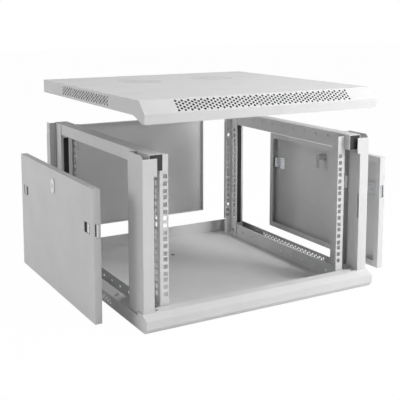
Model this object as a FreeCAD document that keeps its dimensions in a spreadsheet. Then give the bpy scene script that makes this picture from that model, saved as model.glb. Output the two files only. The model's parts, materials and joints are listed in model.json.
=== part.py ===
import FreeCAD, Part
import math
import os
import re
import Sketcher

# Wall-mount 19-inch rack cabinet, set out with its cover lifted and its panels taken off.
# Millimetres, +X to the right, +Y to the back, +Z up, origin under the middle of the base.

doc = FreeCAD.newDocument("RackCabinet")

DIMENSIONS = (
    # whole cabinet
    ("cabinet_width", 600),
    ("cabinet_depth", 600),
    ("cabinet_height", 368),
    ("panel_sheet", 1.2),
    ("frame_sheet", 1.5),
    ("rail_sheet", 2),
    ("seat_gap", 0.5),
    ("lip_reach", 20),
    # base pan
    ("base_height", 37),
    ("base_slope_run", 18),
    ("ledge_hole_width", 9),
    ("ledge_hole_in", 8),
    ("ledge_hole_back", 168),
    ("nose_ledge", 42),
    ("base_face", 28),
    ("nose_chamfer_run", 8),
    ("nose_chamfer_rise", 10),
    ("rear_wall_height", 34),
    ("floor_hole_radius", 6),
    ("floor_hole_back", 154),
    ("pivot_hole_radius", 3.5),
    ("pivot_hole_in", 38),
    ("pivot_hole_back", 30),
    # cover
    ("lip_depth", 46),
    ("lip_face", 20),
    ("lip_return", 10),
    ("slope_run", 26),
    ("gable_run", 52),
    ("cover_wall", 32),
    ("fan_spread", 106),
    ("fan_back", 130),
    ("fan_slot_width", 5),
    ("fan_slot_length", 28),
    ("fan_inner_radius", 30),
    ("fan_slots", 12),
    # vents
    ("vent_hole", 6.8),
    ("vent_pitch", 14.4),
    ("vent_row", 8.4),
    ("front_vents", 31),
    ("side_vents", 20),
    ("vent_back", 20),
    # posts and beams
    ("post_inset", 4),
    ("post_face", 25),
    ("post_head", 33),
    ("post_side", 70),
    ("post_return", 38),
    ("post_flange", 40),
    ("post_foot", 30.5),
    ("head_drop", 46),
    ("panel_seat", 19),
    ("head_clip", 9),
    ("rear_post_side", 60),
    ("rear_post_wall", 24),
    ("rear_post_lip", 18),
    ("rear_flange_in", 45),
    ("door_slot_low", 166),
    ("door_slot_high", 224),
    ("door_slot_width", 5),
    ("post_slot_height", 36),
    ("post_slot_low", 122),
    ("post_slot_rise", 100),
    ("post_slot_width", 6),
    ("wall_hole_radius", 5),
    ("wall_hole_low", 80),
    ("wall_hole_rise", 210),
    ("wall_hole_in", 30),
    ("upper_beam_height", 35),
    ("upper_beam_outer", 27),
    ("beam_cap_depth", 8),
    ("lower_beam_top", 36),
    ("lower_beam_cap", 5),
    ("lower_beam_foot", 31),
    # rails
    ("rail_clear", 450),
    ("rail_flange", 20),
    ("rail_side", 32),
    ("rail_setback", 25),
    ("rail_span", 505),
    ("rail_foot", 8),
    ("rail_head_gap", 4),
    ("rack_unit", 44.45),
    ("rack_units", 6),
    ("rack_bottom", 54.65),
    ("hole_first", 6.35),
    ("hole_step", 15.875),
    ("hole_spread", 465.1),
    ("square_hole", 9.5),
    ("side_hole", 10),
    ("beam_holes", 11),
    ("bolt_radius", 3),
    ("bolt_gap", 0.5),
    ("bolt_head_radius", 5),
    ("bolt_head", 4),
    ("bolt_low", 18),
    ("bolt_drop", 11),
    ("foot_bolts", 3),
    ("foot_bolt_pitch", 220),
    # side panels, latches and locks
    ("panel_low", 40.5),
    ("panel_head_room", 40),
    ("panel_depth", 16),
    ("panel_gap", 1.5),
    ("panel_lip", 15),
    ("left_panel_out", 78),
    ("left_panel_drop", 35),
    ("right_panel_out", 120),
    ("right_panel_drop", 38.5),
    ("latch_level", 240),
    ("latch_window_width", 32),
    ("latch_window_height", 23),
    ("latch_window_in", 19),
    ("latch_plate", 2),
    ("latch_margin", 5),
    ("latch_bolt_width", 8),
    ("latch_bolt_height", 28),
    ("latch_nose_in", 3),
    ("latch_tab_width", 9),
    ("latch_tab_gap", 1),
    ("latch_travel", 7),
    ("lock_drop", 37.5),
    ("lock_head_width", 22),
    ("lock_head_height", 34),
    ("lock_head_corner", 7),
    ("lock_head", 2.5),
    ("lock_barrel_radius", 8),
    ("lock_barrel_length", 22),
    ("lock_nut_radius", 12),
    ("lock_nut", 4),
    ("lock_plug_radius", 5.5),
    ("lock_gap", 0.3),
    ("key_slot_width", 1.4),
    ("key_slot_length", 7),
    ("key_slot_depth", 6),
    ("cam_length", 30),
    ("cam_width", 12),
    ("cam_corner", 4),
    ("cam_sheet", 2),
    # rear panel
    ("rear_panel_depth", 10),
    ("rear_panel_back", 132),
    ("cover_lift", 110),
)

sheet = doc.addObject("Spreadsheet::Sheet", "Dims")
for row, (alias, value) in enumerate(DIMENSIONS, 1):
    sheet.set("A%d" % row, alias.replace("_", " "))
    sheet.set("B%d" % row, str(value))
    sheet.setAlias("B%d" % row, alias)
doc.recompute()

# Places worked out from the sheet. Left-hand pieces are drawn; right-hand ones mirror them.
LEFT = "(-cabinet_width / 2)"
FRONT = "(-cabinet_depth / 2)"
BACK = "(cabinet_depth / 2)"
TOP = "cabinet_height"
FRAME_TOP = "(cabinet_height - panel_sheet - seat_gap)"
POST_X = f"({LEFT} + post_inset)"
POST_Y = f"({FRONT} + lip_reach)"
STEP_Y = f"({POST_Y} + post_side)"
BEAM_X = f"({POST_X} + panel_seat)"
RAIL_IN = "(-rail_clear / 2)"
RAIL_OUT = f"({RAIL_IN} - rail_flange)"
RAIL_Y = f"({POST_Y} + rail_setback)"
RAIL_BACK = f"({RAIL_Y} + rail_span)"
NOSE_BACK = f"({FRONT} + nose_ledge)"
LIP_LOW = "(cabinet_height - lip_depth)"
LIP_TOP = "(cabinet_height - lip_depth + lip_face)"
WALL_LOW = "(cabinet_height - cover_wall)"
HEAD_LEVEL = "(cabinet_height - head_drop)"
PANEL_HIGH = "(cabinet_height - panel_head_room)"
PANEL_FRONT = f"({STEP_Y} + panel_gap)"
KEEPER_Y = f"({BACK} - rear_post_wall)"
PANEL_BACK = f"({KEEPER_Y} - panel_gap)"
PANEL_MID = f"(({PANEL_FRONT} + {PANEL_BACK}) / 2)"
BOLT_FRONT = f"({RAIL_Y} + rail_side / 2)"
BOLT_SPAN = "(rail_span - rail_side)"
BOLT_HIGH = f"({FRAME_TOP} - bolt_drop)"
LOCK_LEVEL = f"({PANEL_HIGH} - lock_drop)"
BOLT_HOLE = "(bolt_radius + bolt_gap)"
SIDE_VENT_FIRST = "(vent_back - (side_vents - 0.5) * vent_pitch / 2)"
SIDE_VENT_SPAN = "((side_vents - 1) * vent_pitch)"


def bound(text):
    """Write an expression of plain names as one of the sheet's cells."""
    return re.sub(r"[a-z][a-z_]*", lambda word: "Dims." + word.group(0), text)


def size(text):
    return float(sheet.evalExpression(text))


def new_body(label):
    body = doc.addObject("PartDesign::Body", label)
    body.Label = label
    body.AllowCompound = True
    return body


def box(x0, y0, x1, y1):
    return [(x0, y0), (x1, y0), (x1, y1), (x0, y1)]


def inner_box(outer, margin):
    """The box that lies a margin inside another."""
    (x0, y0), _, (x1, y1), _ = outer
    return box(f"{x0} + {margin}", f"{y0} + {margin}", f"{x1} - {margin}", f"{y1} - {margin}")


def middle_box(x, y, width, height):
    return box(f"{x} - {width} / 2", f"{y} - {height} / 2", f"{x} + {width} / 2", f"{y} + {height} / 2")


def ring(x, y, radius, corners=8):
    """A round outline with few faces, for what repeats."""
    points = []
    for i in range(corners):
        turn = 2 * math.pi * (i + 0.5) / corners
        across = round(math.cos(turn), 6)
        rise = round(math.sin(turn), 6)
        points.append((f"{x} + {across} * {radius}", f"{y} + {rise} * {radius}"))
    return points


def circle(x, y, radius):
    return {"x": x, "y": y, "radius": radius}


def fix_point(sketch, line, point, x, y):
    for kind, text in (("DistanceX", x), ("DistanceY", y)):
        number = sketch.addConstraint(Sketcher.Constraint(kind, line, point, size(text)))
        sketch.setExpression("Constraints[%d]" % number, bound(text))


def draw(body, plane, level, *shapes, up="0"):
    """Sketch outlines and circles at a level along the plane's axis, every size tied to the sheet."""
    sketch = body.newObject("Sketcher::SketchObject", body.Label + "_sketch")
    support = [face for face in body.Origin.OriginFeatures if face.Role == plane + "_Plane"]
    sketch.AttachmentSupport = [(support[0], "")]
    sketch.MapMode = "FlatFace"
    along = f"-({level})" if plane == "XZ" else level
    sketch.setExpression(".AttachmentOffset.Base.z", bound(along))
    sketch.setExpression(".AttachmentOffset.Base.y", bound(up))
    for shape in shapes:
        first = sketch.GeometryCount
        if isinstance(shape, dict):
            middle = FreeCAD.Vector(size(shape["x"]), size(shape["y"]), 0)
            radius = size(shape["radius"])
            sketch.addGeometry(Part.Circle(middle, FreeCAD.Vector(0, 0, 1), radius))
            fix_point(sketch, first, 3, shape["x"], shape["y"])
            number = sketch.addConstraint(Sketcher.Constraint("Radius", first, radius))
            sketch.setExpression("Constraints[%d]" % number, bound(shape["radius"]))
            continue
        corners = [FreeCAD.Vector(size(x), size(y), 0) for x, y in shape]
        count = len(corners)
        for i in range(count):
            sketch.addGeometry(Part.LineSegment(corners[i], corners[(i + 1) % count]))
        for i in range(count):
            sketch.addConstraint(Sketcher.Constraint("Coincident", first + i, 2, first + (i + 1) % count, 1))
        for i, (x, y) in enumerate(shape):
            fix_point(sketch, first + i, 1, x, y)
    return sketch


def pad(body, sketch, length):
    feature = body.newObject("PartDesign::Pad", body.Label + "_pad")
    feature.Profile = sketch
    feature.setExpression("Length", bound(length))
    return feature


def pocket(body, sketch, depth=None):
    feature = body.newObject("PartDesign::Pocket", body.Label + "_pocket")
    feature.Profile = sketch
    feature.Refine = False
    if depth is None:
        feature.Type = "ThroughAll"
    else:
        feature.setExpression("Length", bound(depth))
    return feature


def repeat(body, feature, sketch, *runs):
    """Repeat a feature along its sketch's axes; each run is (axis, length, number)."""
    body.Tip = feature
    whole = body.newObject("PartDesign::MultiTransform", body.Label + "_repeat")
    whole.Refine = False
    steps = []
    for axis, length, number in runs:
        step = body.newObject("PartDesign::LinearPattern", body.Label + "_run")
        step.Direction = (sketch, [axis])
        step.setExpression("Length", bound(length))
        step.setExpression("Occurrences", bound(number))
        steps.append(step)
    whole.Originals = [feature]
    whole.Transformations = steps
    body.Tip = whole
    return whole


def mirror(source, label, normal, base_y="0"):
    twin = doc.addObject("Part::Mirroring", label)
    twin.Label = label
    twin.Source = source
    twin.Normal = normal
    twin.setExpression("Base.y", bound(base_y))
    return twin


def place(piece, x="0", y="0", z="0"):
    for axis, text in (("x", x), ("y", y), ("z", z)):
        piece.setExpression(".Placement.Base." + axis, bound(text))


ACROSS = FreeCAD.Vector(1, 0, 0)
ENDWISE = FreeCAD.Vector(0, 1, 0)
INNER_WIDTH = "cabinet_width - 2 * panel_sheet"
pieces = []


def vent_rows(first, middle, count):
    """Staggered rows of square holes about a middle level, the first column of a band."""
    rows = []
    for i in range(count):
        across = f"{first} + {i % 2} * vent_pitch / 2"
        level = f"{middle} + ({i} - ({count} - 1) / 2) * vent_row"
        rows.append(middle_box(across, level, "vent_hole", "vent_hole"))
    return rows


NOSE = [
    (f"{FRONT} + nose_chamfer_run", "0"),
    (FRONT, "nose_chamfer_rise"),
    (FRONT, "base_face"),
    (f"{FRONT} + base_slope_run", "base_height"),
]


def base_pan():
    """Floor with a hollow nose along the front and a low wall along the back."""
    body = new_body("base_pan")
    half = "panel_sheet / 2"
    section = NOSE + [
        (NOSE_BACK, "base_height"),
        (NOSE_BACK, "panel_sheet"),
        (f"{BACK} - panel_sheet", "panel_sheet"),
        (f"{BACK} - panel_sheet", "rear_wall_height"),
        (BACK, "rear_wall_height"),
        (BACK, "0"),
    ]
    hollow = [
        (f"{FRONT} + nose_chamfer_run + {half}", "panel_sheet"),
        (f"{FRONT} + panel_sheet", f"nose_chamfer_rise + {half}"),
        (f"{FRONT} + panel_sheet", f"base_face - {half}"),
        (f"{FRONT} + base_slope_run + {half}", "base_height - panel_sheet"),
        (f"{NOSE_BACK} - panel_sheet", "base_height - panel_sheet"),
        (f"{NOSE_BACK} - panel_sheet", "panel_sheet"),
    ]
    pad(body, draw(body, "YZ", f"{LEFT} + panel_sheet", section, hollow), INNER_WIDTH)
    pivot = f"({FRONT} + pivot_hole_back)"
    pivots = [
        circle(f"{LEFT} + pivot_hole_in", pivot, "pivot_hole_radius"),
        circle(f"-{LEFT} - pivot_hole_in", pivot, "pivot_hole_radius"),
    ]
    pocket(body, draw(body, "XY", "base_height", *pivots), "2 * panel_sheet")
    bolts = []
    for i in range(int(size("foot_bolts"))):
        y = f"({i} - (foot_bolts - 1) / 2) * foot_bolt_pitch"
        for sign in ("", "-"):
            bolts.append(ring(f"{sign}{FOOT_BOLT_X}", y, BOLT_HOLE))
    centre = circle("0", "floor_hole_back", "floor_hole_radius")
    body.Tip = pocket(body, draw(body, "XY", "2 * panel_sheet", centre, *bolts), "3 * panel_sheet")
    pieces.append(body)


def skirts():
    """Vented side wall of the base: it closes the nose's end and folds in to a sloped ledge."""
    body = new_body("left_skirt")
    outline = NOSE + [
        (NOSE_BACK, "base_height"),
        (NOSE_BACK, "base_face"),
        (BACK, "base_face"),
        (BACK, "0"),
    ]
    pad(body, draw(body, "YZ", LEFT, outline), "panel_sheet")
    half = "panel_sheet / 2"
    inner = f"{LEFT} + base_slope_run"
    ledge = [
        (LEFT, f"base_face - {half}"),
        (LEFT, "base_face"),
        (inner, "base_height"),
        (inner, "base_height - panel_sheet"),
        (f"{LEFT} + panel_sheet", f"base_face - {half}"),
    ]
    ledge_front = f"({STEP_Y} + post_flange + panel_gap)"
    ledge_back = f"({BACK} - panel_sheet)"
    pad(body, draw(body, "XZ", ledge_back, ledge), f"{ledge_back} - {ledge_front}")
    hole_x = f"{LEFT} + ledge_hole_in"
    hole = middle_box(hole_x, f"{FRONT} + ledge_hole_back", "ledge_hole_width", "ledge_hole_width")
    pocket(body, draw(body, "XY", "base_height", hole), "base_height - base_face + panel_sheet / 2")
    sketch = draw(body, "YZ", f"{LEFT} + 2 * panel_sheet", *vent_rows(SIDE_VENT_FIRST, "base_face / 2", 2))
    cut = pocket(body, sketch, "3 * panel_sheet")
    repeat(body, cut, sketch, ("H_Axis", SIDE_VENT_SPAN, "side_vents"))
    pieces.append(body)
    pieces.append(mirror(body, "right_skirt", ACROSS))


FOOT_BOLT_X = f"({RAIL_OUT} - lower_beam_foot / 2 - frame_sheet / 2)"


def top_cover():
    body = new_body("top_cover")
    half = "panel_sheet / 2"
    section = [
        (f"{FRONT} + lip_return", LIP_LOW),
        (FRONT, LIP_LOW),
        (FRONT, LIP_TOP),
        (f"{FRONT} + slope_run", TOP),
        (BACK, TOP),
        (BACK, WALL_LOW),
        (f"{BACK} - panel_sheet", WALL_LOW),
        (f"{BACK} - panel_sheet", f"{TOP} - panel_sheet"),
        (f"{FRONT} + slope_run + {half}", f"{TOP} - panel_sheet"),
        (f"{FRONT} + panel_sheet", f"{LIP_TOP} - {half}"),
        (f"{FRONT} + panel_sheet", f"{LIP_LOW} + panel_sheet"),
        (f"{FRONT} + lip_return", f"{LIP_LOW} + panel_sheet"),
    ]
    pad(body, draw(body, "YZ", f"{LEFT} + panel_sheet", section), INNER_WIDTH)
    wall = [
        (FRONT, LIP_LOW),
        (FRONT, LIP_TOP),
        (f"{FRONT} + slope_run", TOP),
        (BACK, TOP),
        (BACK, WALL_LOW),
        (f"{FRONT} + gable_run", WALL_LOW),
        (f"{FRONT} + lip_return", LIP_LOW),
    ]
    for side in (LEFT, f"-{LEFT} - panel_sheet"):
        pad(body, draw(body, "YZ", side, wall), "panel_sheet")
    first = "(-(front_vents - 0.5) * vent_pitch / 2)"
    rows = vent_rows(first, f"({LIP_TOP} + {TOP}) / 2", 3)
    front = draw(body, "XZ", f"{FRONT} - seat_gap", *rows)
    band = pocket(body, front, "slope_run + seat_gap")
    repeat(body, band, front, ("H_Axis", "(front_vents - 1) * vent_pitch", "front_vents"))
    rows = vent_rows(SIDE_VENT_FIRST, f"({WALL_LOW} + {TOP}) / 2", 2)
    side = draw(body, "YZ", "cabinet_width", *rows)
    repeat(body, pocket(body, side), side, ("H_Axis", SIDE_VENT_SPAN, "side_vents"))
    for sign in ("-", ""):
        fan_grille(body, f"({sign}fan_spread)")
    place(body, z="cover_lift")
    pieces.append(body)


def fan_grille(body, x):
    """A ring of radial slots in the cover's top, where a fan can be fitted below."""
    sketch = body.newObject("Sketcher::SketchObject", body.Label + "_fan")
    support = [face for face in body.Origin.OriginFeatures if face.Role == "XY_Plane"]
    sketch.AttachmentSupport = [(support[0], "")]
    sketch.MapMode = "FlatFace"
    sketch.setExpression(".AttachmentOffset.Base.x", bound(x))
    sketch.setExpression(".AttachmentOffset.Base.y", bound("fan_back"))
    sketch.setExpression(".AttachmentOffset.Base.z", bound(TOP))
    outer_radius = "fan_inner_radius + fan_slot_length"
    slot = box("fan_inner_radius", "-fan_slot_width / 2", outer_radius, "fan_slot_width / 2")
    corners = [FreeCAD.Vector(size(a), size(b), 0) for a, b in slot]
    for i in range(4):
        sketch.addGeometry(Part.LineSegment(corners[i], corners[(i + 1) % 4]))
    for i in range(4):
        sketch.addConstraint(Sketcher.Constraint("Coincident", i, 2, (i + 1) % 4, 1))
    for i, (a, b) in enumerate(slot):
        fix_point(sketch, i, 1, a, b)
    cut = pocket(body, sketch, "2 * panel_sheet")
    body.Tip = cut
    around = body.newObject("PartDesign::PolarPattern", body.Label + "_ring")
    around.Refine = False
    around.Originals = [cut]
    around.Axis = (sketch, ["N_Axis"])
    around.Angle = 360
    around.setExpression("Occurrences", bound("fan_slots"))
    body.Tip = around


def front_post():
    body = new_body("left_front_post")
    inner = f"{POST_X} + post_face"
    wall = f"{POST_X} + frame_sheet"
    flange = [
        (wall, f"{STEP_Y} - frame_sheet"),
        (BEAM_X, f"{STEP_Y} - frame_sheet"),
        (BEAM_X, f"{STEP_Y} + post_flange"),
        (f"{BEAM_X} - frame_sheet", f"{STEP_Y} + post_flange"),
        (f"{BEAM_X} - frame_sheet", STEP_Y),
        (POST_X, STEP_Y),
    ]
    shaft = [
        (POST_X, POST_Y),
        (inner, POST_Y),
        (inner, f"{POST_Y} + post_return"),
        (f"{inner} - frame_sheet", f"{POST_Y} + post_return"),
        (f"{inner} - frame_sheet", f"{POST_Y} + frame_sheet"),
        (wall, f"{POST_Y} + frame_sheet"),
    ] + flange
    head = [
        (POST_X, POST_Y),
        (f"{POST_X} + post_head", POST_Y),
        (f"{POST_X} + post_head", f"{POST_Y} + frame_sheet"),
        (wall, f"{POST_Y} + frame_sheet"),
    ] + flange
    foot_front = f"{NOSE_BACK} + 2 * panel_gap"
    foot = [(POST_X, foot_front), (wall, foot_front)] + flange
    pad(body, draw(body, "XY", "post_foot", foot), "base_height - post_foot")
    pad(body, draw(body, "XY", "base_height", shaft), f"{HEAD_LEVEL} - base_height")
    pad(body, draw(body, "XY", HEAD_LEVEL, head), f"{FRAME_TOP} - {HEAD_LEVEL}")
    keeper = middle_box(LATCH_BOLT_X, "latch_level", LATCH_SLOT_WIDTH, LATCH_SLOT_HEIGHT)
    pocket(body, draw(body, "XZ", f"{STEP_Y} - 3 * frame_sheet", keeper), "4 * frame_sheet")
    clip = [
        (POST_Y, f"{FRAME_TOP} - head_clip"),
        (f"{POST_Y} + head_clip", FRAME_TOP),
        (POST_Y, FRAME_TOP),
    ]
    pocket(body, draw(body, "YZ", "0", clip))
    slot_front = f"{POST_Y} + frame_sheet"
    slot = box(slot_front, "door_slot_low", f"{slot_front} + door_slot_width", "door_slot_high")
    pocket(body, draw(body, "YZ", f"{inner} + frame_sheet", slot), "3 * frame_sheet")
    pieces.append(body)
    pieces.append(mirror(body, "right_front_post", ACROSS))


LATCH_BOLT_X = f"({POST_X} + panel_sheet + seat_gap + latch_plate + latch_bolt_width / 2)"
LATCH_SLOT_WIDTH = "(latch_bolt_width + 2 * seat_gap)"
LATCH_SLOT_HEIGHT = "(latch_bolt_height + 4 * seat_gap)"


def rear_post():
    """Folded corner post: keeper wall for the side panel, outer wall and rear face with wall fixings."""
    body = new_body("left_rear_post")
    web_front = f"{BACK} - rear_post_side"
    rear_inside = f"{BACK} - frame_sheet"
    outer = f"{BEAM_X} - frame_sheet"
    wall = f"{POST_X} + frame_sheet"
    keeper_back = f"{KEEPER_Y} + frame_sheet"
    web = [(outer, web_front), (BEAM_X, web_front), (BEAM_X, keeper_back)]
    shaft = web + [
        (wall, keeper_back),
        (wall, rear_inside),
        (f"{POST_X} + rear_flange_in", rear_inside),
        (f"{POST_X} + rear_flange_in", BACK),
        (POST_X, BACK),
        (POST_X, KEEPER_Y),
        (outer, KEEPER_Y),
    ]
    head = web + [
        (wall, keeper_back),
        (wall, f"{rear_inside} - frame_sheet"),
        (POST_X, f"{rear_inside} - frame_sheet"),
        (POST_X, KEEPER_Y),
        (outer, KEEPER_Y),
    ]
    foot = web + [(outer, keeper_back)]
    shaft_low = "(base_height + seat_gap)"
    shaft_top = f"({WALL_LOW} - seat_gap)"
    pad(body, draw(body, "XY", "panel_sheet", foot), f"{shaft_low} - panel_sheet")
    pad(body, draw(body, "XY", shaft_low, shaft), f"{shaft_top} - {shaft_low}")
    pad(body, draw(body, "XY", shaft_top, head), f"{FRAME_TOP} - {shaft_top}")
    lip = box(BEAM_X, web_front, f"{BEAM_X} + rear_post_lip", f"{web_front} + frame_sheet")
    lip_low = "(lower_beam_top + seat_gap)"
    lip_top = f"({FRAME_TOP} - upper_beam_height - seat_gap)"
    pad(body, draw(body, "XY", lip_low, lip), f"{lip_top} - {lip_low}")
    keeper = middle_box(LATCH_BOLT_X, "latch_level", LATCH_SLOT_WIDTH, LATCH_SLOT_HEIGHT)
    pocket(body, draw(body, "XZ", f"{KEEPER_Y} - frame_sheet", keeper), "3 * frame_sheet")
    fixing = f"{POST_X} + wall_hole_in"
    holes = [
        circle(fixing, "wall_hole_low", "wall_hole_radius"),
        circle(fixing, "wall_hole_low + wall_hole_rise", "wall_hole_radius"),
    ]
    pocket(body, draw(body, "XZ", f"{BACK} - 2 * frame_sheet", *holes), "3 * frame_sheet")
    slot_x = f"({BEAM_X} + rear_post_lip / 2)"
    slots = []
    for low in ("post_slot_low", "post_slot_low + post_slot_rise"):
        middle = f"({low} + post_slot_height / 2)"
        slots.append(middle_box(slot_x, middle, "post_slot_width", "post_slot_height"))
    pocket(body, draw(body, "XZ", f"{web_front} - frame_sheet", *slots), "3 * frame_sheet")
    pieces.append(body)
    pieces.append(mirror(body, "right_rear_post", ACROSS))


def beam_hole_row(body, level):
    """Row of round holes along a beam's inner wall, for bolting rails at any depth."""
    hole = ring(BOLT_FRONT, level, BOLT_HOLE)
    sketch = draw(body, "YZ", f"{RAIL_OUT} + frame_sheet", hole)
    cut = pocket(body, sketch, "4 * frame_sheet")
    repeat(body, cut, sketch, ("H_Axis", BOLT_SPAN, "beam_holes"))


def beams():
    upper = new_body("left_upper_beam")
    section = [
        (BEAM_X, FRAME_TOP),
        (RAIL_OUT, FRAME_TOP),
        (RAIL_OUT, f"{FRAME_TOP} - upper_beam_height"),
        (f"{RAIL_OUT} - frame_sheet", f"{FRAME_TOP} - upper_beam_height"),
        (f"{RAIL_OUT} - frame_sheet", f"{FRAME_TOP} - frame_sheet"),
        (f"{BEAM_X} + frame_sheet", f"{FRAME_TOP} - frame_sheet"),
        (f"{BEAM_X} + frame_sheet", f"{FRAME_TOP} - upper_beam_outer"),
        (BEAM_X, f"{FRAME_TOP} - upper_beam_outer"),
    ]
    back = f"({BACK} - rear_panel_depth - panel_gap)"
    pad(upper, draw(upper, "XZ", back, section), f"{back} - {POST_Y} - head_clip")
    beam_hole_row(upper, BOLT_HIGH)
    lower = new_body("left_lower_beam")
    section = [
        (RAIL_OUT, "panel_sheet"),
        (RAIL_OUT, "lower_beam_top"),
        (f"{RAIL_OUT} - lower_beam_cap", "lower_beam_top"),
        (f"{RAIL_OUT} - lower_beam_cap", "lower_beam_top - frame_sheet"),
        (f"{RAIL_OUT} - frame_sheet", "lower_beam_top - frame_sheet"),
        (f"{RAIL_OUT} - frame_sheet", "panel_sheet + frame_sheet"),
        (f"{RAIL_OUT} - lower_beam_foot", "panel_sheet + frame_sheet"),
        (f"{RAIL_OUT} - lower_beam_foot", "panel_sheet"),
    ]
    pad(lower, draw(lower, "XZ", back, section), f"{back} - {NOSE_BACK}")
    beam_hole_row(lower, "bolt_low")
    bolts = []
    for i in range(int(size("foot_bolts"))):
        y = f"({i} - (foot_bolts - 1) / 2) * foot_bolt_pitch"
        bolts.append(ring(FOOT_BOLT_X, y, BOLT_HOLE))
    level = "(panel_sheet + 2 * frame_sheet)"
    sketch = draw(lower, "XY", level, *bolts)
    lower.Tip = pocket(lower, sketch, level)
    for body, twin in ((upper, "right_upper_beam"), (lower, "right_lower_beam")):
        pieces.append(body)
        pieces.append(mirror(body, twin, ACROSS))


def beam_caps():
    """Plug that closes the front end of an upper beam."""
    body = new_body("left_beam_cap")
    outline = box(
        f"{BEAM_X} + frame_sheet",
        f"{FRAME_TOP} - upper_beam_height",
        f"{RAIL_OUT} - frame_sheet",
        f"{FRAME_TOP} - frame_sheet",
    )
    back = f"{POST_Y} + head_clip + beam_cap_depth"
    pad(body, draw(body, "XZ", back, outline), "beam_cap_depth")
    pieces.append(body)
    pieces.append(mirror(body, "right_beam_cap", ACROSS))


def rails():
    """Angle rails with the standard square holes; three of the four mirror the first."""
    body = new_body("left_front_rail")
    section = [
        (RAIL_OUT, RAIL_Y),
        (RAIL_IN, RAIL_Y),
        (RAIL_IN, f"{RAIL_Y} + rail_sheet"),
        (f"{RAIL_OUT} + rail_sheet", f"{RAIL_Y} + rail_sheet"),
        (f"{RAIL_OUT} + rail_sheet", f"{RAIL_Y} + rail_side"),
        (RAIL_OUT, f"{RAIL_Y} + rail_side"),
    ]
    pad(body, draw(body, "XY", "rail_foot", section), f"{FRAME_TOP} - rail_head_gap - rail_foot")
    face_holes = []
    side_holes = []
    for i in range(3):
        level = f"(rack_bottom + hole_first + {i} * hole_step)"
        face_holes.append(middle_box("(-hole_spread / 2)", level, "square_hole", "square_hole"))
        side_holes.append(middle_box(f"({BOLT_FRONT} + rail_sheet)", level, "side_hole", "side_hole"))
    rise = "(rack_units - 1) * rack_unit"
    sketch = draw(body, "XZ", f"{RAIL_Y} - rail_sheet", *face_holes)
    repeat(body, pocket(body, sketch, "3 * rail_sheet"), sketch, ("V_Axis", rise, "rack_units"))
    sketch = draw(body, "YZ", f"{RAIL_OUT} + 2 * rail_sheet", *side_holes)
    repeat(body, pocket(body, sketch, "3 * rail_sheet"), sketch, ("V_Axis", rise, "rack_units"))
    bolts = [ring(BOLT_FRONT, level, BOLT_HOLE) for level in ("bolt_low", BOLT_HIGH)]
    sketch = draw(body, "YZ", f"{RAIL_OUT} + 2 * rail_sheet", *bolts)
    body.Tip = pocket(body, sketch, "3 * rail_sheet")
    middle = f"({RAIL_Y} + {RAIL_BACK}) / 2"
    back = mirror(body, "left_rear_rail", ENDWISE, middle)
    pieces.extend([body, back])
    pieces.append(mirror(body, "right_front_rail", ACROSS))
    pieces.append(mirror(back, "right_rear_rail", ACROSS))


def bolts():
    """Hex bolts: one at each end of each rail, and a row along each lower beam's foot."""
    body = new_body("rail_bolts")
    inside = f"({RAIL_OUT} + rail_sheet)"
    for y in (BOLT_FRONT, f"({BOLT_FRONT} + {BOLT_SPAN})"):
        for level in ("bolt_low", BOLT_HIGH):
            for side, sign in ((inside, ""), (f"-{inside} - bolt_head", "-")):
                pad(body, draw(body, "YZ", side, ring(y, level, "bolt_head_radius", 6)), "bolt_head")
                start = f"{RAIL_OUT} - 3 * frame_sheet" if sign == "" else f"-{inside}"
                shank = draw(body, "YZ", start, ring(y, level, "bolt_radius", 6))
                pad(body, shank, "3 * frame_sheet + rail_sheet")
    pieces.append(body)
    body = new_body("foot_bolts")
    for i in range(int(size("foot_bolts"))):
        y = f"({i} - (foot_bolts - 1) / 2) * foot_bolt_pitch"
        for sign in ("", "-"):
            x = f"{sign}{FOOT_BOLT_X}"
            seat = "panel_sheet + frame_sheet"
            pad(body, draw(body, "XY", seat, ring(x, y, "bolt_head_radius", 6)), "bolt_head")
            pad(body, draw(body, "XY", "seat_gap", ring(x, y, "bolt_radius", 6)), f"{seat} - seat_gap")
    pieces.append(body)


WINDOW_FRONT = f"({PANEL_FRONT} + latch_window_in)"
WINDOW_MID = f"({WINDOW_FRONT} + latch_window_width / 2)"


def side_panel():
    """Folded tray with lips turned in along all four edges; it comes off outwards and down."""
    body = new_body("left_side_panel")
    skin = box(PANEL_FRONT, "panel_low", PANEL_BACK, PANEL_HIGH)
    inset = inner_box(skin, "panel_sheet")
    pad(body, draw(body, "YZ", POST_X, skin), "panel_sheet")
    rim = draw(body, "YZ", f"{POST_X} + panel_sheet", skin, inset)
    pad(body, rim, "panel_depth - panel_sheet")
    lips = draw(body, "YZ", f"{POST_X} + panel_depth - panel_sheet", inset, inner_box(skin, "panel_lip"))
    pad(body, lips, "panel_sheet")
    front = middle_box(WINDOW_MID, "latch_level", "latch_window_width", "latch_window_height")
    rear_mid = f"({PANEL_FRONT} + {PANEL_BACK} - {WINDOW_MID})"
    rear = middle_box(rear_mid, "latch_level", "latch_window_width", "latch_window_height")
    lock = lock_ring("(lock_barrel_radius + lock_gap)")
    pocket(body, draw(body, "YZ", f"{POST_X} + 2 * panel_sheet", front, rear, lock), "3 * panel_sheet")
    slot = middle_box(LATCH_BOLT_X, "latch_level", LATCH_SLOT_WIDTH, LATCH_SLOT_HEIGHT)
    body.Tip = pocket(body, draw(body, "XZ", f"{PANEL_FRONT} - panel_gap", slot))
    place_left(body)
    pieces.append(body)
    right_twin(body, "right_side_panel")


def place_left(piece):
    place(piece, x="-left_panel_out", z="-left_panel_drop")


def right_twin(piece, label):
    twin = mirror(piece, label, ACROSS)
    place(twin, x="right_panel_out - left_panel_out", z="left_panel_drop - right_panel_drop")
    pieces.append(twin)


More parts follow.
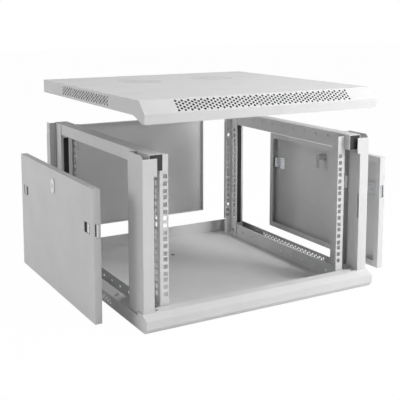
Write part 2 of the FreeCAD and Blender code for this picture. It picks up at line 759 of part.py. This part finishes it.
def latches():
    """Slide latch: a plate that closes the window from behind, a thumb tab in it, a bolt at the edge."""
    body = new_body("left_front_latch")
    behind = f"({POST_X} + panel_sheet + seat_gap)"
    tab_front = f"({WINDOW_FRONT} + latch_travel + seat_gap)"
    tab_back = f"({tab_front} + latch_tab_width)"
    low = "(latch_level - latch_window_height / 2)"
    high = "(latch_level + latch_window_height / 2)"
    plate_front = f"{WINDOW_FRONT} - latch_margin"
    plate = box(
        plate_front,
        f"{low} - latch_margin",
        f"{WINDOW_FRONT} + latch_window_width + latch_travel + seat_gap",
        f"{high} + latch_margin",
    )
    pad(body, draw(body, "YZ", behind, plate), "latch_plate")
    bolt_low = "latch_level - latch_bolt_height / 2"
    bolt_high = "latch_level + latch_bolt_height / 2"
    bolt = box(plate_front, bolt_low, tab_front, bolt_high)
    pad(body, draw(body, "YZ", f"{behind} + latch_plate", bolt), "latch_bolt_width")
    nose = box(f"{PANEL_FRONT} + seat_gap / 2", bolt_low, plate_front, bolt_high)
    nose_side = f"{behind} + latch_plate + latch_nose_in"
    pad(body, draw(body, "YZ", nose_side, nose), "latch_bolt_width - latch_nose_in")
    tab = box(tab_front, f"{low} + latch_tab_gap", tab_back, f"{high} - latch_tab_gap")
    pad(body, draw(body, "YZ", f"{POST_X} + seat_gap", tab), "panel_sheet")
    place_left(body)
    rear = mirror(body, "left_rear_latch", ENDWISE, PANEL_MID)
    pieces.extend([body, rear])
    right_twin(body, "right_front_latch")
    right_twin(rear, "right_rear_latch")


def lock_ring(radius):
    return ring(PANEL_MID, LOCK_LEVEL, radius, 16)


def locks():
    """Key lock: barrel with an oblong head, its nut behind the skin, and a plug that turns the cam."""
    bore = "(lock_plug_radius + lock_gap)"
    head_face = f"({POST_X} - lock_head)"
    end = f"({POST_X} + lock_barrel_length)"
    barrel = new_body("left_lock_barrel")
    wide = "lock_head_width / 2"
    tall = "lock_head_height / 2"
    cut = "lock_head_corner"
    head = []
    for across, rise in ((1, 1), (-1, 1), (-1, -1), (1, -1)):
        side = (f"{PANEL_MID} + {across} * {wide}", f"{LOCK_LEVEL} + {rise} * ({tall} - {cut})")
        end_corner = (f"{PANEL_MID} + {across} * ({wide} - {cut})", f"{LOCK_LEVEL} + {rise} * {tall}")
        head.extend([side, end_corner] if across == rise else [end_corner, side])
    pad(barrel, draw(barrel, "YZ", head_face, head, lock_ring(bore)), "lock_head")
    tube = draw(barrel, "YZ", POST_X, lock_ring("lock_barrel_radius"), lock_ring(bore))
    pad(barrel, tube, "lock_barrel_length")
    nut = new_body("left_lock_nut")
    hole = lock_ring("(lock_barrel_radius + lock_gap)")
    outline = ring(PANEL_MID, LOCK_LEVEL, "lock_nut_radius", 6)
    pad(nut, draw(nut, "YZ", f"{POST_X} + panel_sheet", outline, hole), "lock_nut")
    plug = new_body("left_lock_plug")
    shaft = lock_ring("lock_plug_radius")
    start = f"({head_face} + seat_gap)"
    reach = f"{end} + lock_gap - {start}"
    pad(plug, draw(plug, "YZ", start, shaft), reach)
    half = "cam_width / 2"
    cam_end = f"({LOCK_LEVEL} - cam_length)"
    cam = [
        (f"{PANEL_MID} - {half}", f"{LOCK_LEVEL} + {half}"),
        (f"{PANEL_MID} - {half}", f"{cam_end} + cam_corner"),
        (f"{PANEL_MID} - {half} + cam_corner", cam_end),
        (f"{PANEL_MID} + {half} - cam_corner", cam_end),
        (f"{PANEL_MID} + {half}", f"{cam_end} + cam_corner"),
        (f"{PANEL_MID} + {half}", f"{LOCK_LEVEL} + {half}"),
    ]
    pad(plug, draw(plug, "YZ", f"{end} + lock_gap", cam), "cam_sheet")
    key = middle_box(PANEL_MID, LOCK_LEVEL, "key_slot_width", "key_slot_length")
    sketch = draw(plug, "YZ", f"{start} + key_slot_depth", key)
    plug.Tip = pocket(plug, sketch, "2 * key_slot_depth")
    for body, twin in ((barrel, "right_lock_barrel"), (nut, "right_lock_nut"), (plug, "right_lock_plug")):
        place_left(body)
        pieces.append(body)
        right_twin(body, twin)


def rear_panel():
    body = new_body("rear_panel")
    side = f"({POST_X} + rear_flange_in + panel_gap)"
    low = "(rear_wall_height + panel_gap)"
    high = f"({WALL_LOW} - panel_gap)"
    skin = box(side, low, f"-{side}", high)
    inset = inner_box(skin, "panel_sheet")
    pad(body, draw(body, "XZ", BACK, skin), "panel_sheet")
    pad(body, draw(body, "XZ", f"{BACK} - panel_sheet", skin, inset), "rear_panel_depth - panel_sheet")
    place(body, y="rear_panel_back")
    pieces.append(body)


base_pan()
skirts()
front_post()
rear_post()
beams()
beam_caps()
rails()
bolts()
top_cover()
side_panel()
latches()
locks()
rear_panel()
doc.recompute()

for item in doc.Objects:
    if "Invalid" in item.State or "Error" in item.State:
        raise RuntimeError(f"{item.Label} did not rebuild: {item.State}")

os.makedirs("parts", exist_ok=True)
for piece in pieces:
    if piece.Shape.isNull() or not piece.Shape.isValid():
        raise RuntimeError(f"{piece.Label} has no valid shape")
    piece.Shape.exportStep(f"parts/{piece.Label}.step")
    print(piece.Label, len(piece.Shape.Solids), round(piece.Shape.Volume), piece.Shape.BoundBox)
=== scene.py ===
import json
import math
from collections import namedtuple

import bmesh
import bpy
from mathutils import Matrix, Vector


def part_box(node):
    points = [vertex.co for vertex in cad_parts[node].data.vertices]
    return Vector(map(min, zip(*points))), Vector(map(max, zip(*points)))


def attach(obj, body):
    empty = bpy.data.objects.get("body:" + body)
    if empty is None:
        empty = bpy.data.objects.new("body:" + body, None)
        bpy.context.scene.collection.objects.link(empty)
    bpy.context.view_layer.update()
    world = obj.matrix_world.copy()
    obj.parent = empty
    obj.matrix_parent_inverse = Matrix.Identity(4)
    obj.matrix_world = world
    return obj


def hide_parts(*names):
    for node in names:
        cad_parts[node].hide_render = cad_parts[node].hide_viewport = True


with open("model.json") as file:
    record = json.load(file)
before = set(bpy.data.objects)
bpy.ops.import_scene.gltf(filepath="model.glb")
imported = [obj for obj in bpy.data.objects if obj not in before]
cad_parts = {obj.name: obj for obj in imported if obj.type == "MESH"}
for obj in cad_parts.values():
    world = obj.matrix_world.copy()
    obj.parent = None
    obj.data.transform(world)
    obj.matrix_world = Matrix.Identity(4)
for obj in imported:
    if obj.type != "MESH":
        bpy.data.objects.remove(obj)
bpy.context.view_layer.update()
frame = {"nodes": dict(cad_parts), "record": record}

ACROSS = (1, 0, 0)
BACK = (0, 1, 0)
UP = (0, 0, 1)
SIDES = (("left", -1), ("right", 1))

# Sizes in metres. The sheet, the folds and the fans' places are those of the part's source.
SHEET = 0.0012
LIP_FACE = 0.020
LIP_RETURN = 0.010
SLOPE_RUN = 0.026
GABLE_RUN = 0.052
COVER_WALL = 0.032
FAN_SPREAD = 0.106
FAN_BACK = 0.130
FAN_RADIUS = 0.058
VENT_MIDDLE = 0.020
BASE_FACE = 0.028
NOSE_LEDGE = 0.042
NOSE_SLOPE = 0.018
NOSE_FOOT_RUN = 0.008
NOSE_FOOT_RISE = 0.010
LEDGE_FRONT = -0.1685
LEDGE_HOLE_WIDTH = 0.009
LEDGE_HOLE_IN = 0.008
LEDGE_HOLE_Y = -0.132

# The latches' painted shade, black on the plate where the thumb recess beside the tab lies in shade: how far
# from the lock, half its width, and how deep from the panel's face.
RECESS_SHADE_REACH = 0.1975
RECESS_SHADE_HALF = 0.0082
RECESS_SHADE_DEPTH = 0.0027

# Black sheets close behind the cover's vents: painted shade, so the holes read dark.
SCREEN_GAP = 0.0006
SCREEN_THICK = 0.0008
SCREEN_EDGE = 0.002
SCREEN_RISE = 0.0347
SCREEN_HALF_WIDTH = 0.225
SCREEN_HALF_DEPTH = 0.148

# Black strips on the rear posts' lips: painted shade for the shadowed pocket beside each rear rail.
SHADE_STRIP_IN = 0.008
SHADE_STRIP_WIDTH = 0.0125
SHADE_STRIP_THICK = 0.003
SHADE_STRIP_ROUND = 0.001
SHADE_STRIP_END_GAP = 0.0005

# Perforations: from column to column, from hole to hole in a column, and from a hole's middle to its corners.
Perforation = namedtuple("Perforation", "pitch height radius")
COARSE = Perforation(pitch=0.0076, height=0.0082, radius=0.0031)
FINE = Perforation(pitch=0.0064, height=0.0078, radius=0.0026)

# Vents: columns of holes, and holes in the taller columns.
Vent = namedtuple("Vent", "columns rows")
SLOPE_VENT = Vent(columns=59, rows=4)
SIDE_VENT = Vent(columns=37, rows=3)
SKIRT_VENT = Vent(columns=37, rows=2)

# A hexagon's corners by their direction, from the lower left round.
HEXAGON = [math.radians(240 + 60 * corner) for corner in range(6)]


def shader(name, colour, roughness, metallic=0.0):
    """A material with its shader's plain values set, and the object's own space to lay textures in."""
    material = bpy.data.materials.new(name)
    material.use_nodes = True
    tree = material.node_tree
    surface = tree.nodes["Principled BSDF"]
    surface.inputs["Base Color"].default_value = (*colour, 1)
    surface.inputs["Roughness"].default_value = roughness
    surface.inputs["Metallic"].default_value = metallic
    place = tree.nodes.new("ShaderNodeTexCoord")
    return material, tree, surface, place.outputs["Object"]


def noise(tree, where, scale, detail=2.0):
    node = tree.nodes.new("ShaderNodeTexNoise")
    node.inputs["Scale"].default_value = scale
    node.inputs["Detail"].default_value = detail
    tree.links.new(where, node.inputs["Vector"])
    return node.outputs["Fac"]


def ramp(tree, value, dark, light, low=0.3, high=0.7):
    """A colour that goes from dark to light as a value goes from low to high."""
    node = tree.nodes.new("ShaderNodeValToRGB")
    node.color_ramp.elements[0].position = low
    node.color_ramp.elements[0].color = (*dark, 1)
    node.color_ramp.elements[1].position = high
    node.color_ramp.elements[1].color = (*light, 1)
    tree.links.new(value, node.inputs["Fac"])
    return node.outputs["Color"]


def bump(tree, surface, height, strength, distance):
    node = tree.nodes.new("ShaderNodeBump")
    node.inputs["Strength"].default_value = strength
    node.inputs["Distance"].default_value = distance
    tree.links.new(height, node.inputs["Height"])
    tree.links.new(node.outputs["Normal"], surface.inputs["Normal"])


def calculate(tree, operation, *values):
    """A node's result from one or two values, each a number or another node's output."""
    node = tree.nodes.new("ShaderNodeMath")
    node.operation = operation
    for socket, value in zip(node.inputs, values):
        if isinstance(value, bpy.types.NodeSocket):
            tree.links.new(value, socket)
        else:
            socket.default_value = value
    return node.outputs[0]


def apart(tree, value, middle):
    """How far a value is from a middle, to either side."""
    return calculate(tree, "ABSOLUTE", calculate(tree, "SUBTRACT", value, middle))


def split_place(tree, where):
    node = tree.nodes.new("ShaderNodeSeparateXYZ")
    tree.links.new(where, node.inputs[0])
    return node.outputs


def tint(colour, factor):
    return tuple(min(1.0, part * factor) for part in colour)


def grey(level):
    return (level, level, level)


def powder_coat(name, colour):
    """Baked powder paint: a fine even orange-peel with faint clouding."""
    material, tree, surface, where = shader(name, colour, roughness=0.5)
    cloud = noise(tree, where, scale=14, detail=3)
    clouded = ramp(tree, cloud, tint(colour, 0.965), tint(colour, 1.02))
    tree.links.new(clouded, surface.inputs["Base Color"])
    grain = noise(tree, where, scale=1400)
    gloss = ramp(tree, grain, grey(0.54), grey(0.68))
    tree.links.new(gloss, surface.inputs["Roughness"])
    bump(tree, surface, grain, strength=0.12, distance=0.0003)
    surface.inputs["Specular IOR Level"].default_value = 0.15
    return material


def plated_metal(name, colour, roughness):
    """Plated metal, a little clouded and dulled, with a fine grain."""
    material, tree, surface, where = shader(name, colour, roughness, metallic=1.0)
    cloud = noise(tree, where, scale=220, detail=4)
    clouded = ramp(tree, cloud, tint(colour, 0.86), tint(colour, 1.05), low=0.25, high=0.75)
    tree.links.new(clouded, surface.inputs["Base Color"])
    gloss = ramp(tree, cloud, grey(roughness * 0.75), grey(roughness * 1.35), low=0.2, high=0.8)
    tree.links.new(gloss, surface.inputs["Roughness"])
    bump(tree, surface, noise(tree, where, scale=900), strength=0.05, distance=0.0002)
    return material


def latch_metal(name, colour, roughness, recess_shade_colour):
    """The same plate, with painted shade: black where the thumb recess beside the tab lies in shade."""
    (left, front, _), (_, back, _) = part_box("left_side_panel")
    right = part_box("right_side_panel")[1][0]
    lock_y = (front + back) / 2
    centre = (left + right) / 2
    panel_face = (right - left) / 2
    material = plated_metal(name, colour, roughness)
    tree = material.node_tree
    surface = tree.nodes["Principled BSDF"]
    plate = surface.inputs["Base Color"].links[0].from_socket
    place = split_place(tree, tree.nodes.new("ShaderNodeTexCoord").outputs["Object"])
    # Painted shade: the base colour turns near-black in the thumb recess, close to the panel's outer face.
    from_recess_shade = apart(tree, apart(tree, place["Y"], lock_y), RECESS_SHADE_REACH)
    recess_shade = calculate(tree, "LESS_THAN", from_recess_shade, RECESS_SHADE_HALF)
    outside = calculate(tree, "GREATER_THAN", apart(tree, place["X"], centre), panel_face - RECESS_SHADE_DEPTH)
    mix = tree.nodes.new("ShaderNodeMix")
    mix.data_type = "RGBA"
    tree.links.new(calculate(tree, "MULTIPLY", recess_shade, outside), mix.inputs["Factor"])
    tree.links.new(plate, mix.inputs["A"])
    mix.inputs["B"].default_value = (*recess_shade_colour, 1)
    tree.links.new(mix.outputs["Result"], surface.inputs["Base Color"])
    return material


def black_matt(name, colour, roughness, scale, swing, strength):
    """Matt black plastic, or the near-black of painted shade behind the vents and on the rear posts' lips,
    with a fine grain in its colour and its surface.
    """
    material, tree, surface, where = shader(name, colour, roughness)
    grain = noise(tree, where, scale)
    grained = ramp(tree, grain, tint(colour, 1 - swing), tint(colour, 1 + swing))
    tree.links.new(grained, surface.inputs["Base Color"])
    bump(tree, surface, grain, strength, distance=0.0003)
    return material


materials = {
    "powder_coat": powder_coat("powder coat", (0.67, 0.675, 0.67)),
    "bolt_steel": plated_metal("zinc plate", (0.56, 0.57, 0.6), roughness=0.32),
    # The latch plate carries painted shade in its thumb recess.
    "latch_zinc": latch_metal("latch steel", (0.62, 0.63, 0.65), roughness=0.28, recess_shade_colour=grey(0.012)),
    "lock_metal": plated_metal("nickel plate", (0.66, 0.66, 0.68), roughness=0.22),
    "cap_plastic": black_matt(
        "black plastic", (0.022, 0.022, 0.023), roughness=0.55, scale=1800, swing=0.2, strength=0.15
    ),
}
# Painted shade: near-black for the sheets behind the vents, where the cover's inside lies in shade.
vent_shade_black = black_matt(
    "painted vent shade", (0.012, 0.012, 0.013), roughness=0.9, scale=2600, swing=0.4, strength=0.3
)
# Painted shade: near-black for the strips on the rear posts' lips.
post_shade_black = black_matt("painted post shade", grey(0.016), roughness=0.85, scale=700, swing=0.5, strength=0.5)


def finish_nodes():
    """Gives each node of the frame the finish that its slot names."""
    for part in frame["record"]["subparts"]:
        mesh = frame["nodes"][part["node"]].data
        mesh.materials.clear()
        mesh.materials.append(materials[part["material_slot"]])


class Panel:
    """Flat sheet metal: laid out and pierced on its outer side, then given the sheet's thickness."""

    def __init__(self, corner, along, up):
        self.corner = Vector(corner)
        self.along = Vector(along).normalized()
        self.up = Vector(up).normalized()
        self.mesh = bmesh.new()

    def face(self, points):
        corners = [self.mesh.verts.new(self.corner + self.along * u + self.up * v) for u, v in points]
        made = self.mesh.faces.new(corners)
        made.normal_update()
        return made

    def rectangle(self, u0, v0, u1, v1):
        self.face([(u0, v0), (u1, v0), (u1, v1), (u0, v1)])

    def cell(self, u, v, holes):
        """One cell of a vent. Its sides have a point halfway up, where the next column's cells meet."""
        right = u + holes.pitch
        middle = v + holes.height / 2
        top = v + holes.height
        return self.face([(u, v), (right, v), (right, middle), (right, top), (u, top), (u, middle)])

    def pierce(self, cells, holes):
        """Insets cells, draws each inset to a hexagon and takes it out."""
        middles = [cell.calc_center_bounds() for cell in cells]
        bmesh.ops.inset_individual(self.mesh, faces=cells, thickness=holes.pitch / 2 - holes.radius)
        for cell, middle in zip(cells, middles):
            for vert, turn in zip(cell.verts, HEXAGON):
                toward = self.along * math.cos(turn) + self.up * math.sin(turn)
                vert.co = middle + toward * holes.radius
        bmesh.ops.delete(self.mesh, geom=cells, context="FACES_ONLY")

    def vent(self, u, v, layout, holes, wanted=None):
        """Staggered columns of holes where wanted, each second one a hole shorter. Gives the far corner."""
        half = holes.height / 2
        high = v + layout.rows * holes.height
        pierced = []
        for column in range(layout.columns):
            left = u + column * holes.pitch
            right = left + holes.pitch
            shorter = column % 2
            for row in range(layout.rows - shorter):
                low = v + row * holes.height + shorter * half
                cell = self.cell(left, low, holes)
                if wanted is None or wanted((left + right) / 2, low + half):
                    pierced.append(cell)
            if shorter:
                self.rectangle(left, v, right, v + half)
                self.rectangle(left, high - half, right, high)
        self.pierce(pierced, holes)
        return u + layout.columns * holes.pitch, high

    def frame_vent(self, u0, u1, v1, layout, middle):
        """A whole rectangle of sheet, from its foot up, with a coarse vent round a middle along it."""
        left = middle - layout.columns * COARSE.pitch / 2
        low = (v1 - layout.rows * COARSE.height) / 2
        right, high = self.vent(left, low, layout, COARSE)
        self.rectangle(u0, 0, u1, low)
        self.rectangle(u0, high, u1, v1)
        self.rectangle(u0, low, left, high)
        self.rectangle(right, low, u1, high)

    def add_to(self, whole):
        """Gives the sheet its thickness and joins it to a whole piece."""
        bmesh.ops.remove_doubles(self.mesh, verts=self.mesh.verts, dist=1e-7)
        grown = bmesh.ops.extrude_face_region(self.mesh, geom=self.mesh.faces[:], use_keep_orig=True)
        inner = [item for item in grown["geom"] if isinstance(item, bmesh.types.BMVert)]
        bmesh.ops.translate(self.mesh, verts=inner, vec=self.up.cross(self.along) * SHEET)
        bmesh.ops.recalc_face_normals(self.mesh, faces=self.mesh.faces[:])
        made = bpy.data.meshes.new("panel")
        self.mesh.to_mesh(made)
        whole.from_mesh(made)
        bpy.data.meshes.remove(made)
        self.mesh.free()


def side_wall(whole, box, toward, foot, height, run, layout, outline):
    """A vented side wall with its front end's outline. The left one is the right one's mirror."""
    (left, front, _), (right, back, _) = box
    depth = back - front
    if toward < 0:
        x, start, begin = left, back, 0
        outline = [(depth - u, v) for u, v in reversed(outline)]
    else:
        x, start, begin = right, front, run
    wall = Panel((x, start, foot), (0, toward, 0), UP)
    wall.frame_vent(begin, begin + depth - run, height, layout, (VENT_MIDDLE - start) * toward)
    wall.face(outline)
    wall.add_to(whole)


def piece(name, whole, material, body):
    """An object of a finished mesh, with its material, which rides on a body."""
    mesh = bpy.data.meshes.new(name)
    whole.to_mesh(mesh)
    whole.free()
    mesh.materials.append(material)
    made = bpy.data.objects.new(name, mesh)
    bpy.context.scene.collection.objects.link(made)
    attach(made, body)
    return made


def cover_front(whole, box):
    """The lip with its return, and the slope with its vent."""
    (left, front, low), (right, _, top) = box
    start = left + SHEET
    width = right - left - 2 * SHEET
    lip = Panel((start, front, low), ACROSS, UP)
    lip.rectangle(0, 0, width, LIP_FACE)
    fold = Panel((start, front + LIP_RETURN, low), ACROSS, (0, -1, 0))
    fold.rectangle(0, 0, width, LIP_RETURN - SHEET)
    rise = Vector((0, SLOPE_RUN, top - low - LIP_FACE))
    slope = Panel((start, front, low + LIP_FACE), ACROSS, rise)
    slope.frame_vent(0, width, rise.length, SLOPE_VENT, width / 2)
    for panel in (lip, fold, slope):
        panel.add_to(whole)


def cover_deck(whole, box):
    """The flat top, with a round field of fine holes over each fan, and the wall at its rear."""
    (left, front, _), (right, back, top) = box
    start = left + SHEET
    width = right - left - 2 * SHEET
    slope_back = front + SLOPE_RUN
    field = Vent(math.ceil(2 * FAN_RADIUS / FINE.pitch), math.ceil(2 * FAN_RADIUS / FINE.height))
    fans = (-FAN_SPREAD - start, FAN_SPREAD - start)
    fan_v = FAN_BACK - slope_back

    def over_fan(u, v):
        return any(math.hypot(u - fan_u, v - fan_v) < FAN_RADIUS for fan_u in fans)

    low = fan_v - field.rows * FINE.height / 2
    deck = Panel((start, slope_back, top), ACROSS, BACK)
    edge = 0
    for fan_u in fans:
        near = fan_u - field.columns * FINE.pitch / 2
        far, high = deck.vent(near, low, field, FINE, over_fan)
        deck.rectangle(edge, low, near, high)
        edge = far
    deck.rectangle(edge, low, width, high)
    deck.rectangle(0, 0, width, low)
    deck.rectangle(0, high, width, back - SHEET - slope_back)
    deck.add_to(whole)
    rear = Panel((start + width, back, top - COVER_WALL), (-1, 0, 0), UP)
    rear.rectangle(0, 0, width, COVER_WALL)
    rear.add_to(whole)


def vented_cover():
    """The folded cover with its perforations in the slope, in each side and over each fan."""
    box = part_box("top_cover")
    low = box[0][2]
    foot = box[1][2] - COVER_WALL
    gable = [
        (GABLE_RUN, 0),
        (GABLE_RUN, COVER_WALL),
        (SLOPE_RUN, COVER_WALL),
        (0, low + LIP_FACE - foot),
        (0, low - foot),
        (LIP_RETURN, low - foot),
    ]
    whole = bmesh.new()
    cover_front(whole, box)
    cover_deck(whole, box)
    for _, toward in SIDES:
        side_wall(whole, box, toward, foot, COVER_WALL, GABLE_RUN, SIDE_VENT, gable)
    cover = piece("vented_cover", whole, materials["powder_coat"], "cover")
    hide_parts("top_cover")


def skirt_ledge(whole, box, toward):
    """The ledge that rises inwards from the skirt's upper edge, with its square hole."""
    (left, _, low), (right, back, top) = box
    run = right - left
    rise = top - low - BASE_FACE
    stretch = math.hypot(run, rise) / run
    rear = back - SHEET
    x, start = (left, rear) if toward < 0 else (right, LEDGE_FRONT)
    length = rear - LEDGE_FRONT
    width = (run - SHEET / 2) * stretch
    half = LEDGE_HOLE_WIDTH / 2
    hole = (LEDGE_HOLE_Y - start) * toward
    hole_low = (LEDGE_HOLE_IN - half) * stretch
    hole_high = (LEDGE_HOLE_IN + half) * stretch
    ledge = Panel((x, start, low + BASE_FACE), (0, toward, 0), (-toward * run, 0, rise))
    ledge.rectangle(0, 0, hole - half, width)
    ledge.rectangle(hole + half, 0, length, width)
    ledge.rectangle(hole - half, 0, hole + half, hole_low)
    ledge.rectangle(hole - half, hole_high, hole + half, width)
    ledge.add_to(whole)


def vented_skirts():
    """The base's side walls with their perforations. Each closes the nose's end and folds in to a ledge."""
    for side, toward in SIDES:
        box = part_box(side + "_skirt")
        low = box[0][2]
        height = box[1][2] - low
        nose = [
            (NOSE_LEDGE, 0),
            (NOSE_LEDGE, height),
            (NOSE_SLOPE, height),
            (0, BASE_FACE),
            (0, NOSE_FOOT_RISE),
            (NOSE_FOOT_RUN, 0),
        ]
        whole = bmesh.new()
        side_wall(whole, box, toward, low, BASE_FACE, NOSE_LEDGE, SKIRT_VENT, nose)
        skirt_ledge(whole, box, toward)
        skirt = piece(side + "_vented_skirt", whole, materials["powder_coat"], "frame")
        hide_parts(side + "_skirt")


def slab(whole, low, high):
    """A box between two corners."""
    made = bmesh.ops.create_cube(whole, size=1)["verts"]
    for vert in made:
        vert.co = Vector(a + (b - a) * (c + 0.5) for a, b, c in zip(low, high, vert.co))
    return made


def vent_shade_sheets():
    """Black sheets close behind the vents in the slope and the sides: painted shade, so the holes read dark.
    """
    (left, front, low), (right, _, top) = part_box("top_cover")
    behind = SHEET + SCREEN_GAP
    rise = Vector((0, SLOPE_RUN, top - low - LIP_FACE)).normalized()
    inward = Vector((0, rise.z, -rise.y))
    foot = Vector((0, front, low + LIP_FACE)) + inward * behind
    whole = bmesh.new()
    flat = slab(whole, (-SCREEN_HALF_WIDTH, 0, SCREEN_EDGE), (SCREEN_HALF_WIDTH, SCREEN_THICK, SCREEN_RISE))
    for vert in flat:
        vert.co = foot + Vector((vert.co.x, 0, 0)) + rise * vert.co.z + inward * vert.co.y
    for x in (left + behind, right - behind - SCREEN_THICK):
        lowest = (x, VENT_MIDDLE - SCREEN_HALF_DEPTH, top - COVER_WALL + SCREEN_EDGE)
        highest = (x + SCREEN_THICK, VENT_MIDDLE + SCREEN_HALF_DEPTH, top - SCREEN_EDGE)
        slab(whole, lowest, highest)
    piece("vent_shade_sheets", whole, vent_shade_black, "cover")


def post_shade_strips():
    """A black strip up the inward lip of each rear post, between the two side beams: painted shade for the
    shadowed pocket beside the rear rail.
    """
    for side, toward in SIDES:
        (left, lip, _), (right, _, _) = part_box(side + "_rear_post")
        lip_end = right if toward < 0 else left
        inner = lip_end + toward * SHADE_STRIP_IN
        near, far = sorted((inner, inner + toward * SHADE_STRIP_WIDTH))
        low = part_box(side + "_lower_beam")[1][2] + SHADE_STRIP_END_GAP
        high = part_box(side + "_beam_cap")[0][2] - SHADE_STRIP_END_GAP
        whole = bmesh.new()
        slab(whole, (near, lip - SHADE_STRIP_THICK, low), (far, lip, high))
        middle = lip - SHADE_STRIP_THICK / 2
        front = [edge for edge in whole.edges if all(vert.co.y < middle for vert in edge.verts)]
        bmesh.ops.bevel(
            whole, geom=front, offset=SHADE_STRIP_ROUND, segments=3, profile=0.5, affect="EDGES", material=-1
        )
        piece(side + "_post_shade_strip", whole, post_shade_black, "frame")


finish_nodes()
vented_cover()
vented_skirts()
vent_shade_sheets()
post_shade_strips()

# The stage: how far the floor goes and how low it lies, half the square of painted shadow under the base and
# its tone, how white the floor looks to the camera, and the level of the light from all round.
FLOOR_REACH = 12
FLOOR_DROP = 0.0005
PAINTED_SHADOW_HALF = 0.285
PAINTED_SHADOW_TONE = 0.03
WHITE_SHARE = 0.985
ROUND_LIGHT = 0.18


def seen_directly(tree):
    """1 where a thing is seen, also in a gloss or through clear matter, and 0 where it only gives light."""
    path = tree.nodes.new("ShaderNodeLightPath")
    value = path.outputs["Is Camera Ray"]
    for kind in ("Is Glossy Ray", "Is Transmission Ray"):
        value = calculate(tree, "MAXIMUM", value, path.outputs[kind])
    return value


def pale_floor():
    """White where it is seen directly, pale to the light, and with a painted shadow under the base."""
    material = bpy.data.materials.new("pale floor")
    material.use_nodes = True
    tree = material.node_tree
    tree.nodes.clear()
    where = tree.nodes.new("ShaderNodeTexCoord").outputs["Object"]
    place = split_place(tree, where)
    # Painted shadow: in a square under the base the floor's colour drops to a near-black tone and the white
    # does not show.
    out_from_middle = calculate(tree, "MAXIMUM", apart(tree, place["X"], 0), apart(tree, place["Y"], 0))
    clear = calculate(tree, "GREATER_THAN", out_from_middle, PAINTED_SHADOW_HALF)
    shade = tree.nodes.new("ShaderNodeVectorMath")
    shade.operation = "SCALE"
    tree.links.new(ramp(tree, noise(tree, where, scale=3), grey(0.86), grey(0.88)), shade.inputs[0])
    tree.links.new(calculate(tree, "MAXIMUM", clear, PAINTED_SHADOW_TONE), shade.inputs["Scale"])
    matt = tree.nodes.new("ShaderNodeBsdfDiffuse")
    tree.links.new(shade.outputs[0], matt.inputs["Color"])
    white = tree.nodes.new("ShaderNodeEmission")
    white.inputs["Color"].default_value = (1, 1, 1, 1)
    white.inputs["Strength"].default_value = 1
    seen_white = calculate(tree, "MULTIPLY", seen_directly(tree), WHITE_SHARE)
    mix = tree.nodes.new("ShaderNodeMixShader")
    tree.links.new(calculate(tree, "MULTIPLY", seen_white, clear), mix.inputs[0])
    tree.links.new(matt.outputs[0], mix.inputs[1])
    tree.links.new(white.outputs[0], mix.inputs[2])
    out = tree.nodes.new("ShaderNodeOutputMaterial")
    tree.links.new(mix.outputs[0], out.inputs["Surface"])
    return material


def floor():
    mesh = bpy.data.meshes.new("floor")
    whole = bmesh.new()
    bmesh.ops.create_grid(whole, x_segments=1, y_segments=1, size=FLOOR_REACH)
    whole.to_mesh(mesh)
    whole.free()
    mesh.materials.append(pale_floor())
    plane = bpy.data.objects.new("floor", mesh)
    bpy.context.scene.collection.objects.link(plane)
    plane.location.z = -FLOOR_DROP


def surroundings():
    """A white background that gives a low, even light."""
    world = bpy.data.worlds.new("studio")
    world.use_nodes = True
    tree = world.node_tree
    background = tree.nodes["Background"]
    background.inputs["Color"].default_value = (1, 1, 1, 1)
    strength = tree.nodes.new("ShaderNodeMapRange")
    strength.inputs["To Min"].default_value = ROUND_LIGHT
    strength.inputs["To Max"].default_value = 1
    tree.links.new(seen_directly(tree), strength.inputs["Value"])
    tree.links.new(strength.outputs["Result"], background.inputs["Strength"])
    bpy.context.scene.world = world


def lamp(name, place, target, size, watts):
    data = bpy.data.lights.new(name, "AREA")
    data.shape = "RECTANGLE"
    data.size = size
    data.size_y = size
    data.energy = watts
    light = bpy.data.objects.new(name, data)
    bpy.context.scene.collection.objects.link(light)
    light.location = place
    light.rotation_euler = (Vector(target) - Vector(place)).to_track_quat("-Z", "Y").to_euler()


def camera(place, down, right, lens, shift):
    """A camera at a place, tilted down and turned to the right by so many degrees."""
    data = bpy.data.cameras.new("camera")
    data.sensor_width = 36
    data.lens = lens
    data.shift_y = shift
    data.clip_end = 5 * FLOOR_REACH
    eye = bpy.data.objects.new("camera", data)
    bpy.context.scene.collection.objects.link(eye)
    eye.location = place
    eye.rotation_euler = (math.radians(90 - down), 0, math.radians(-right))
    bpy.context.scene.camera = eye


floor()
surroundings()
lamp("key", place=(1.3, -1.9, 1.8), target=(0.0, 0.0, 0.2), size=1.0, watts=42)
lamp("high", place=(1.6, -0.9, 2.1), target=(0.0, 0.0, 0.2), size=1.0, watts=22)
lamp("side", place=(0.8, -1.1, 0.5), target=(0.2, 0.0, 0.2), size=0.4, watts=2.2)
lamp("top", place=(-0.5, 0.2, 2.9), target=(-0.2, 0.0, 0.0), size=2.4, watts=11)
lamp("fill", place=(-2.6, 1.2, 0.9), target=(0.0, 0.0, 0.2), size=1.4, watts=27.5)
camera(place=(-0.971772, -1.695203, 0.650829), down=7.687, right=29.735, lens=71.644, shift=-0.2)
bpy.context.scene.view_settings.view_transform = "Standard"
